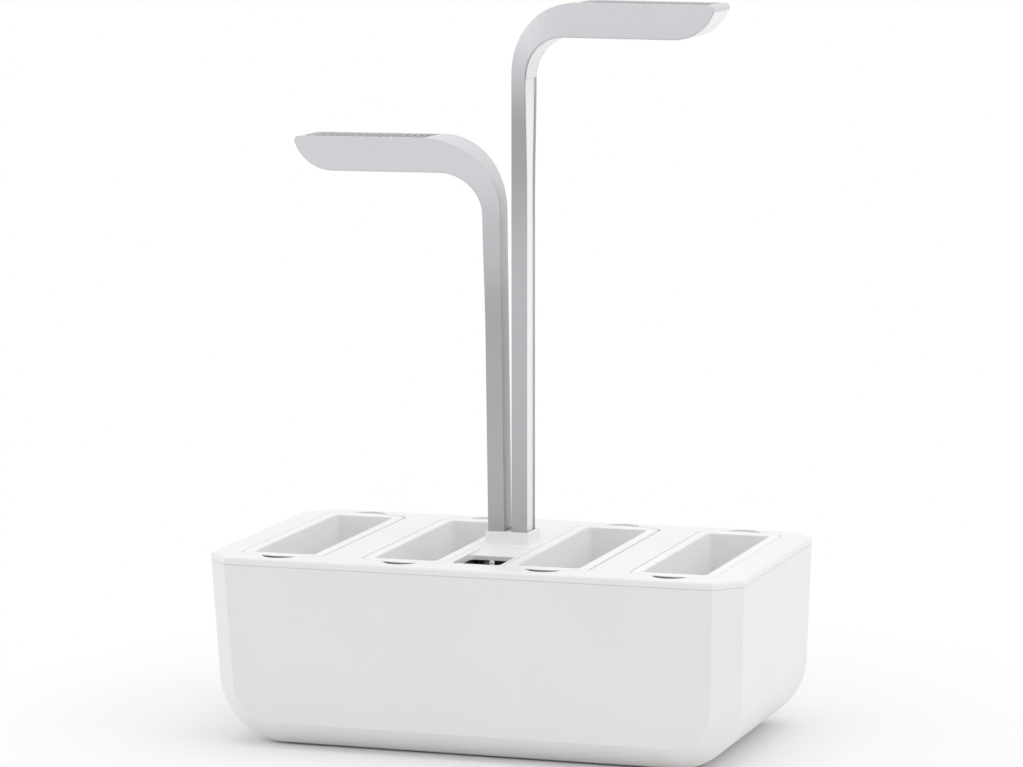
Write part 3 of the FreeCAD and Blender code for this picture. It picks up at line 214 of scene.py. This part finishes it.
# Trays. Four white basins whose rims lie in seats in the lid. They are glossier than the tub, so that
# roots and scale wash off, and stained by hard water to a faint line low on the walls.
def scale_line_group():
    """Faint broken line that drying water leaves at one height."""
    group, given, wanted = open_group(
        "scale_line", [("Height", "NodeSocketFloat", 0.065), ("Width", "NodeSocketFloat", 0.004)],
        [("Mask", "NodeSocketFloat")])
    place = add(group, "ShaderNodeTexCoord").outputs["Object"]
    split = add(group, "ShaderNodeSeparateXYZ", Vector=place)
    away = reckon(group, "ABSOLUTE", reckon(group, "SUBTRACT", split.outputs["Z"], given["Height"]), 0.0)
    near = reckon(group, "SUBTRACT", 1.0, reckon(group, "DIVIDE", away, given["Width"]))
    patches = add(group, "ShaderNodeTexNoise", Vector=place, Scale=90.0, Detail=5.0)
    group.links.new(reckon(group, "MULTIPLY", reckon(group, "MAXIMUM", near, 0.0), patches.outputs["Fac"]),
                    wanted["Mask"])
    return group


tray_white, tree, shader = moulding("tray_white", (0.925, 0.928, 0.92), (0.91, 0.913, 0.905), (0.34, 0.42),
                                    depth=0.000006, edge_gain=0.4)
scale_line = place_group(tree, scale_line_group(), Height=0.066, Width=0.004)
plain = shader.inputs["Base Color"].links[0].from_socket
tree.links.new(blend_of(tree, scale_line.outputs["Mask"], plain, (0.80, 0.79, 0.75)),
               shader.inputs["Base Color"])
dress(tray_white, *[f"tray_{number}" for number in (1, 2, 3, 4)])

# Wicks. Two strips of needled white felt in each tray, 10 mm wide. A strip lies on the tray's floor,
# turns down through a slot and hangs into the water, where its end sways a little out of line.
WICK_HALF = 0.0049
WICK_THICK = 0.0016
TRAY_FLOOR = 0.0524
WICK_END = 0.0055
WICK_INNER_END = 0.0095
SLOT_EDGE = 0.0279
SLOT_TURN = 0.0021
WICK_LIFT = 0.00087
HANG_TOP = TRAY_FLOOR + WICK_LIFT - SLOT_TURN
TRAY_CENTRE_Y = 0.001
TRAY_MIDDLES = {1: -0.11045, 2: -0.0405, 3: 0.04005, 4: 0.110}


def wick_path(sway):
    """Middle line of a strip as (distance from the tray's middle, height, turn of the strip)."""
    points = []
    for step in range(9):
        points.append((WICK_INNER_END + (SLOT_EDGE - WICK_INNER_END) * step / 8,
                       TRAY_FLOOR + WICK_LIFT, 0.0))
    for step in range(1, 7):
        angle = math.pi / 2 * step / 6
        points.append((SLOT_EDGE + SLOT_TURN * math.sin(angle),
                       HANG_TOP + SLOT_TURN * math.cos(angle), angle))
    for step in range(1, 25):
        share = step / 24
        height = HANG_TOP + (WICK_END - HANG_TOP) * share
        loose = max(0.0, share - 0.06)
        drift = sway * loose ** 2 * math.sin(2.6 * loose + 0.4)
        points.append((SLOT_EDGE + SLOT_TURN + drift, height, math.pi / 2))
    return points


def wick(name, number, side, sway):
    """One felt strip as a closed band with soft edges."""
    shape = bmesh.new()
    across = [-1.0, -0.97, -0.6, -0.2, 0.2, 0.6, 0.97, 1.0]
    rings = []
    for order, (reach, height, turn) in enumerate(wick_path(sway)):
        ring = []
        for face in (1, -1):
            for share in (across if face > 0 else across[::-1]):
                half = WICK_THICK / 2 * (0.55 if abs(share) == 1.0 else 1.0)
                fray = 0.00008 * math.sin(order * 1.9 + number) * share
                off_reach, off_height = math.sin(turn) * half * face, math.cos(turn) * half * face
                ring.append(shape.verts.new((
                    TRAY_MIDDLES[number] + share * WICK_HALF + fray,
                    TRAY_CENTRE_Y + side * (reach + off_reach), height + off_height)))
        rings.append(ring)
    for first, second in zip(rings, rings[1:]):
        for index in range(len(first)):
            following = (index + 1) % len(first)
            shape.faces.new((first[index], first[following], second[following], second[index]))
    shape.faces.new(rings[0])
    shape.faces.new(rings[-1][::-1])
    bmesh.ops.recalc_face_normals(shape, faces=shape.faces)
    mesh = bpy.data.meshes.new(name)
    shape.to_mesh(mesh)
    shape.free()
    for polygon in mesh.polygons:
        polygon.use_smooth = True
    strip = bpy.data.objects.new(name, mesh)
    bpy.context.scene.collection.objects.link(strip)
    return strip


felt, tree, shader = named_material("wick_felt")
place = add(tree, "ShaderNodeTexCoord").outputs["Object"]
fibres = add(tree, "ShaderNodeTexNoise", Vector=place, Scale=1400.0, Detail=6.0, Roughness=0.7)
lumps = add(tree, "ShaderNodeTexNoise", Vector=place, Scale=260.0, Detail=3.0)
split = add(tree, "ShaderNodeSeparateXYZ", Vector=place)
damp = spread(tree, split.outputs["Z"], From_Min=0.05, From_Max=0.03)
dry = blend_of(tree, fibres.outputs["Fac"], (0.74, 0.73, 0.68), (0.88, 0.87, 0.83))
tree.links.new(blend_of(tree, reckon(tree, "MULTIPLY", damp, 0.5), dry, (0.62, 0.60, 0.52)),
               shader.inputs["Base Color"])
tree.links.new(spread(tree, lumps.outputs["Fac"], To_Min=0.85), shader.inputs["Roughness"])
bump = add(tree, "ShaderNodeBump", Distance=0.0003, Strength=0.8,
           Height=reckon(tree, "ADD", fibres.outputs["Fac"], lumps.outputs["Fac"]))
tree.links.new(bump.outputs[0], shader.inputs["Normal"])
shader.inputs["Sheen Weight"].default_value = 0.3
for number in (1, 2, 3, 4):
    for side, end in ((-1, "front"), (1, "back")):
        strip = wick(f"wick_felt_{number}_{end}", number, side, 0.0011 + 0.0004 * ((number * 2 + side) % 3))
        strip.data.materials.append(felt)
        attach(strip, f"tray_{number}_unit")
        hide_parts(f"wicks_{number}")

# Arm shells. Each is one long moulding, a channel that turns from post to head, sprayed with a satin
# silver coat. The grey along the arm is painted shade and painted highlight that change with height,
# set after how such a coat looks in a bright room.
def silver_coat_group():
    """Fine metal flakes in a satin silver coat."""
    group, given, wanted = open_group(
        "silver_flakes",
        [("Light", "NodeSocketColor", (0.6, 0.6, 0.6, 1)), ("Dark", "NodeSocketColor", (0.5, 0.5, 0.5, 1)),
         ("Gloss low", "NodeSocketFloat", 0.3), ("Gloss high", "NodeSocketFloat", 0.45)],
        [("Colour", "NodeSocketColor"), ("Roughness", "NodeSocketFloat"), ("Height", "NodeSocketFloat")])
    place = add(group, "ShaderNodeTexCoord").outputs["Object"]
    flakes = add(group, "ShaderNodeTexVoronoi", Vector=place, Scale=3500.0)
    group.links.new(blend_of(group, flakes.outputs["Distance"], given["Dark"], given["Light"]),
                    wanted["Colour"])
    clouds = add(group, "ShaderNodeTexNoise", Vector=place, Scale=40.0, Detail=3.0)
    gloss = spread(group, clouds.outputs["Fac"], To_Min=given["Gloss low"], To_Max=given["Gloss high"])
    group.links.new(gloss, wanted["Roughness"])
    group.links.new(flakes.outputs["Distance"], wanted["Height"])
    return group


RAMP_HEIGHT = 0.5


def shade_by_height(tree, stops):
    """Faintly cool grey that changes with height, as painted shade and painted highlight. A stop is (height,
    level), below the ramp's height.
    """
    place = add(tree, "ShaderNodeTexCoord").outputs["Object"]
    split = add(tree, "ShaderNodeSeparateXYZ", Vector=place)
    ramp = add(tree, "ShaderNodeValToRGB", Fac=reckon(tree, "MULTIPLY", split.outputs["Z"], 1 / RAMP_HEIGHT))
    ramp.color_ramp.interpolation = "EASE"
    for number, (height, level) in enumerate(stops):
        spot = ramp.color_ramp.elements[number] if number < 2 else ramp.color_ramp.elements.new(1.0)
        spot.position = height / RAMP_HEIGHT
        spot.color = (level, 1.01 * level, 1.04 * level, 1)
    return ramp.outputs["Color"]


silver_flakes = silver_coat_group()
# Stops of the painted shade and painted highlight along each arm, as (height, level).
COAT_SHADE_STOPS = {
    "left": ((0.10, 0.48), (0.23, 0.43), (0.27, 0.56), (0.31, 0.70)),
    "right": ((0.10, 0.48), (0.25, 0.52), (0.33, 0.38), (0.39, 0.70))}
for side, stops in COAT_SHADE_STOPS.items():
    silver, tree, shader = named_material(side + "_arm_silver")
    # Painted shade and painted highlight: the grey of the coat is set by height along the arm.
    tone = shade_by_height(tree, stops)
    coat = place_group(tree, silver_flakes, Light=tone,
                       Dark=blend_of(tree, 0.18, tone, (0.3, 0.3, 0.32)), Gloss_low=0.3, Gloss_high=0.42)
    edges = place_group(tree, edge_mask, Width=0.0007)
    tree.links.new(blend_of(tree, reckon(tree, "MULTIPLY", edges.outputs["Mask"], 0.25),
                            coat.outputs["Colour"], (0.42, 0.425, 0.44)), shader.inputs["Base Color"])
    tree.links.new(coat.outputs["Roughness"], shader.inputs["Roughness"])
    bump = add(tree, "ShaderNodeBump", Height=coat.outputs["Height"], Normal=edges.outputs["Normal"],
               Distance=0.00001, Strength=0.5)
    tree.links.new(bump.outputs[0], shader.inputs["Normal"])
    shader.inputs["Metallic"].default_value = 0.7
    dress(silver, side + "_arm_shell")

# Post covers and end plugs. White strips that close the open side of the posts, and the plugs in
# their feet. Both are snapped in, and sliding in the guide rubs their edges smooth; a painted highlight
# lightens those edges, more strongly on the plugs.
cover_white, *_ = moulding("cover_white", (0.965, 0.97, 0.98), (0.95, 0.955, 0.965), (0.35, 0.45))
dress(cover_white, "left_post_cover", "right_post_cover")
plug_white, *_ = moulding("plug_white", (0.85, 0.85, 0.84), (0.80, 0.80, 0.79), (0.4, 0.55),
                                 edge_gain=2.0)
dress(plug_white, "left_end_plug", "right_end_plug")

# Light panels. Milky strips under the heads and round their tips that spread the light of the diodes.
# They are moulded in an opal plastic with a faint frost on the skin.
light_panel, _, shader = moulding("light_panel", (0.94, 0.945, 0.955), (0.92, 0.925, 0.935),
                                     (0.4, 0.5), grain=4000.0)
shader.inputs["Subsurface Weight"].default_value = 0.15
shader.inputs["Subsurface Scale"].default_value = 0.002
dress(light_panel, "left_diffuser", "right_diffuser")

# Head grilles. Slotted vents let into the top of the heads, over the warm side of the light board.
# They are plain grey mouldings, with painted shade in the slots.
grille_grey, *_ = moulding("grille_grey", (0.50, 0.505, 0.52), (0.42, 0.425, 0.44), (0.5, 0.65),
                                     grain=1200.0, depth=0.00005)
dress(grille_grey, "left_head_grille", "right_head_grille")

# Light boards. White coated aluminium boards along the heads, with printed tracks under the coat.
# The diodes on them are small white cases filled with yellow phosphor.
def track_group():
    """Printed tracks under a board's coat: rows of straight strips with gaps between them."""
    group, given, wanted = open_group(
        "printed_tracks", [("Pitch", "NodeSocketFloat", 400.0)], [("Mask", "NodeSocketFloat")])
    place = add(group, "ShaderNodeTexCoord").outputs["Object"]
    bricks = add(group, "ShaderNodeTexBrick", Vector=place, Scale=given["Pitch"])
    bricks.inputs["Color1"].default_value = (1, 1, 1, 1)
    bricks.inputs["Color2"].default_value = (0.8, 0.8, 0.8, 1)
    bricks.inputs["Mortar"].default_value = (0, 0, 0, 1)
    bricks.inputs["Mortar Size"].default_value = 0.04
    group.links.new(bricks.outputs["Fac"], wanted["Mask"])
    return group


printed_tracks = track_group()


def board(name, coat, track, pitch):
    """Coated board whose printed tracks show a little through the coat and stand up from it."""
    material, tree, shader = moulding(name, coat, tuple(0.93 * part for part in coat), (0.3, 0.45))
    tracks = place_group(tree, printed_tracks, Pitch=pitch)
    plain = shader.inputs["Base Color"].links[0].from_socket
    tree.links.new(blend_of(tree, reckon(tree, "MULTIPLY", tracks.outputs["Mask"], 0.5), plain, track),
                   shader.inputs["Base Color"])
    raised = add(tree, "ShaderNodeBump", Height=tracks.outputs["Mask"], Distance=0.00004, Strength=0.6,
                 Normal=shader.inputs["Normal"].links[0].from_socket)
    tree.links.new(raised.outputs[0], shader.inputs["Normal"])
    return material


dress(board("light_board", (0.86, 0.865, 0.87), (0.72, 0.73, 0.74), 300.0), "left_led_board",
      "right_led_board")
phosphor, *_ = moulding("phosphor", (0.92, 0.84, 0.42), (0.86, 0.74, 0.30), (0.25, 0.35),
                               grain=5000.0)
dress(phosphor, "left_leds", "right_leds")
lead_jacket, *_ = moulding("lead_jacket", (0.82, 0.82, 0.81), (0.75, 0.75, 0.74), (0.5, 0.65),
                                  grain=700.0, depth=0.00004)
dress(lead_jacket, "left_lead", "right_lead")

# Sliding contacts. Copper rails let into the guide's grooves, and the sprung copper brushes on the end
# plugs that ride on them. The rubbed metal is brighter than the metal beside it, which has dulled.
copper, tree, shader = named_material("contact_copper")
place = add(tree, "ShaderNodeTexCoord").outputs["Object"]
streaks = add(tree, "ShaderNodeMapping", Vector=place)
streaks.inputs["Scale"].default_value = (1.0, 1.0, 0.04)
rubbed = add(tree, "ShaderNodeTexNoise", Vector=streaks.outputs[0], Scale=1500.0, Detail=4.0)
tarnish = add(tree, "ShaderNodeTexNoise", Vector=place, Scale=120.0, Detail=5.0)
tree.links.new(blend_of(tree, tarnish.outputs["Fac"], (0.82, 0.45, 0.25), (0.52, 0.27, 0.15)),
               shader.inputs["Base Color"])
tree.links.new(spread(tree, rubbed.outputs["Fac"], To_Min=0.2, To_Max=0.5), shader.inputs["Roughness"])
bump = add(tree, "ShaderNodeBump", Height=rubbed.outputs["Fac"], Distance=0.00003, Strength=0.5)
tree.links.new(bump.outputs[0], shader.inputs["Normal"])
shader.inputs["Metallic"].default_value = 1.0
dress(copper, "left_contact_rails", "right_contact_rails", "left_brushes", "right_brushes")

# Guide shaft. A black moulding screwed under the lid, closed by a glued cap. Rubber pads in its middle
# rib hold the arms by friction, and rubber rings keep water out of the shaft and of the dry box.
shaft_black, *_ = moulding("shaft_black", (0.07, 0.068, 0.064), (0.05, 0.049, 0.046), (0.4, 0.55),
                                  edge_gain=0.4)
dress(shaft_black, "arm_guide", "guide_cap")
seal_rubber, *_ = moulding("seal_rubber", (0.04, 0.04, 0.04), (0.025, 0.025, 0.025), (0.7, 0.9),
                                  grain=800.0, depth=0.00006, edge_gain=0.3)
dress(seal_rubber, "guide_seal", "housing_seal", "left_brake_pad", "right_brake_pad")

# Dry box. A white box behind the shaft, pulled up against its seal by screws. It holds the control
# board and, through the tub's back wall, the inlet for the supply lead.
box_white, *_ = moulding("box_white", (0.84, 0.84, 0.83), (0.79, 0.79, 0.78), (0.4, 0.5))
dress(box_white, "board_housing", "float_cage")
dress(board("control_board_green", (0.04, 0.20, 0.09), (0.10, 0.36, 0.16), 420.0), "control_board")
part_black, *_ = moulding("part_black", (0.05, 0.05, 0.055), (0.035, 0.035, 0.04), (0.3, 0.5),
                                 grain=3500.0)
dress(part_black, "board_parts")

# Supply inlet. A black barrel with a nickel-plated centre pin, held in the tab by a plated nut. The
# screws are plated steel too, turned on a lathe, so that fine rings show in the plating.
def plated_group():
    """Plated steel: fine turning marks, faint clouds in the plating."""
    group, given, wanted = open_group(
        "plated_steel", [("Marks", "NodeSocketFloat", 900.0)],
        [("Colour", "NodeSocketColor"), ("Roughness", "NodeSocketFloat"), ("Height", "NodeSocketFloat")])
    place = add(group, "ShaderNodeTexCoord").outputs["Object"]
    marks = add(group, "ShaderNodeTexWave", Vector=place, Scale=given["Marks"], Distortion=0.6)
    clouds = add(group, "ShaderNodeTexNoise", Vector=place, Scale=200.0, Detail=4.0)
    group.links.new(blend_of(group, clouds.outputs["Fac"], (0.52, 0.52, 0.52), (0.66, 0.66, 0.65)),
                    wanted["Colour"])
    group.links.new(spread(group, clouds.outputs["Fac"], To_Min=0.22, To_Max=0.4), wanted["Roughness"])
    group.links.new(marks.outputs["Fac"], wanted["Height"])
    return group


plated_steel = plated_group()
steel, tree, shader = named_material("plated_fasteners")
plating = place_group(tree, plated_steel, Marks=900.0)
tree.links.new(plating.outputs["Colour"], shader.inputs["Base Color"])
tree.links.new(plating.outputs["Roughness"], shader.inputs["Roughness"])
bump = add(tree, "ShaderNodeBump", Height=plating.outputs["Height"], Distance=0.00002, Strength=0.4)
tree.links.new(bump.outputs[0], shader.inputs["Normal"])
shader.inputs["Metallic"].default_value = 1.0
dress(steel, "inlet_nut", "housing_screws")

INLET_HEIGHT = 0.0893
PIN_RADIUS = 0.0014
inlet_black, tree, shader = moulding("inlet_black", (0.05, 0.05, 0.052), (0.035, 0.035, 0.037), (0.35, 0.5))
place = add(tree, "ShaderNodeTexCoord").outputs["Object"]
from_axis = tree.nodes.new("ShaderNodeVectorMath")
from_axis.operation = "MULTIPLY_ADD"
tree.links.new(place, from_axis.inputs[0])
from_axis.inputs[1].default_value = (1.0, 0.0, 1.0)
from_axis.inputs[2].default_value = (0.0, 0.0, -INLET_HEIGHT)
radius = tree.nodes.new("ShaderNodeVectorMath")
radius.operation = "LENGTH"
tree.links.new(from_axis.outputs[0], radius.inputs[0])
on_pin = reckon(tree, "LESS_THAN", radius.outputs["Value"], PIN_RADIUS)
plain = shader.inputs["Base Color"].links[0].from_socket
tree.links.new(blend_of(tree, on_pin, plain, (0.62, 0.62, 0.60)), shader.inputs["Base Color"])
tree.links.new(on_pin, shader.inputs["Metallic"])
dress(inlet_black, "dc_inlet")

# Water gauge. A drum of closed-cell foam under the window lifts a white plastic stick into view. The
# foam shows its cut cells, and the stick is a plain extruded rod.
gauge_foam, *_ = moulding("gauge_foam", (0.86, 0.86, 0.84), (0.78, 0.78, 0.75), (0.7, 0.9),
                                    grain=500.0, depth=0.0002)
dress(gauge_foam, "level_float")
stick_white, *_ = moulding("stick_white", (0.88, 0.88, 0.87), (0.84, 0.84, 0.83), (0.3, 0.4),
                                  grain=1500.0)
dress(stick_white, "level_stick")

# Setting. A white floor that fades into a white room. The lamps are large and soft: one above, one on
# each side, so that the basins' walls are lit and the front is a little darker than the top.
def white_to_the_eye(tree):
    """Fraction that is 1 where the eye or a mirror sees the surface, and 0 where it lights things."""
    path = tree.nodes.new("ShaderNodeLightPath").outputs
    seen = reckon(tree, "MAXIMUM", path["Is Camera Ray"], path["Is Glossy Ray"])
    return reckon(tree, "MAXIMUM", seen, path["Is Transmission Ray"])


ROOM_LEVEL = 0.68
world = bpy.data.worlds.new("white_room")
bpy.context.scene.world = world
world.use_nodes = True
tree = world.node_tree
room = tree.nodes["Background"]
tree.links.new(spread(tree, white_to_the_eye(tree), To_Min=ROOM_LEVEL, To_Max=1.0), room.inputs["Strength"])
room.inputs["Color"].default_value = (1, 1, 1, 1)

floor_mesh = bpy.data.meshes.new("floor")
shape = bmesh.new()
bmesh.ops.create_circle(shape, cap_ends=True, radius=6, segments=96)
shape.to_mesh(floor_mesh)
shape.free()
floor = bpy.data.objects.new("floor", floor_mesh)
bpy.context.scene.collection.objects.link(floor)
floor.location.z = -0.0002
floor_paint, tree, shader = named_material("floor_paint")
shader.inputs["Base Color"].default_value = (0.93, 0.93, 0.93, 1)
shader.inputs["Roughness"].default_value = 0.9
shader.inputs["Specular IOR Level"].default_value = 0.0
glow = add(tree, "ShaderNodeEmission", Strength=1.0)
place = add(tree, "ShaderNodeTexCoord").outputs["Object"]
reach = tree.nodes.new("ShaderNodeVectorMath")
reach.operation = "LENGTH"
tree.links.new(place, reach.inputs[0])
fade = add(tree, "ShaderNodeMapRange", Value=reach.outputs["Value"], From_Min=0.12, From_Max=0.36)
fade.interpolation_type = "SMOOTHSTEP"
shown = reckon(tree, "MULTIPLY", fade.outputs[0], white_to_the_eye(tree))
both = tree.nodes.new("ShaderNodeMixShader")
tree.links.new(shown, both.inputs[0])
tree.links.new(shader.outputs[0], both.inputs[1])
tree.links.new(glow.outputs[0], both.inputs[2])
tree.links.new(both.outputs[0], tree.nodes["Material Output"].inputs["Surface"])
floor_mesh.materials.append(floor_paint)


def soft_lamp(name, place, target, size, power):
    """A square lamp turned to its target. Power is in watts, size in metres."""
    data = bpy.data.lights.new(name, "AREA")
    data.size = size
    data.energy = power
    lamp = bpy.data.objects.new(name, data)
    lamp.location = place
    lamp.rotation_euler = (Vector(target) - Vector(place)).to_track_quat("-Z", "Y").to_euler()
    bpy.context.scene.collection.objects.link(lamp)


soft_lamp("lamp_above", (0.1, 0.0, 1.9), (0, 0, 0.1), 1.6, 9)
soft_lamp("lamp_left", (-1.8, -0.35, 0.9), (0, 0, 0.12), 1.0, 5)
soft_lamp("lamp_right", (1.6, -0.1, 1.2), (0, 0, 0.1), 1.2, 6)

# Camera. A long lens from the front right, a little above the lid, as in the photograph.
CAMERA_PLACE = Vector((0.7709, -2.1545, 0.5217))
CAMERA_YAW, CAMERA_PITCH, CAMERA_ROLL = 0.34344, 0.14291, -0.01313
backward = Vector((math.sin(CAMERA_YAW) * math.cos(CAMERA_PITCH),
                   -math.cos(CAMERA_YAW) * math.cos(CAMERA_PITCH), math.sin(CAMERA_PITCH)))
sideways = (-backward).cross(Vector((0, 0, 1))).normalized()
upward = sideways.cross(-backward)
turn_cos, turn_sin = math.cos(CAMERA_ROLL), math.sin(CAMERA_ROLL)
right = turn_cos * sideways + turn_sin * upward
up = -turn_sin * sideways + turn_cos * upward
camera_data = bpy.data.cameras.new("camera")
camera_data.sensor_fit = "HORIZONTAL"
camera_data.sensor_width = 36
camera_data.lens = 150.5
camera_data.clip_start = 0.01
camera_data.clip_end = 50
camera = bpy.data.objects.new("camera", camera_data)
camera.matrix_world = Matrix.Translation(CAMERA_PLACE) @ Matrix((right, up, backward)).transposed().to_4x4()
bpy.context.scene.collection.objects.link(camera)
bpy.context.scene.camera = camera
bpy.context.scene.view_settings.view_transform = "Standard"
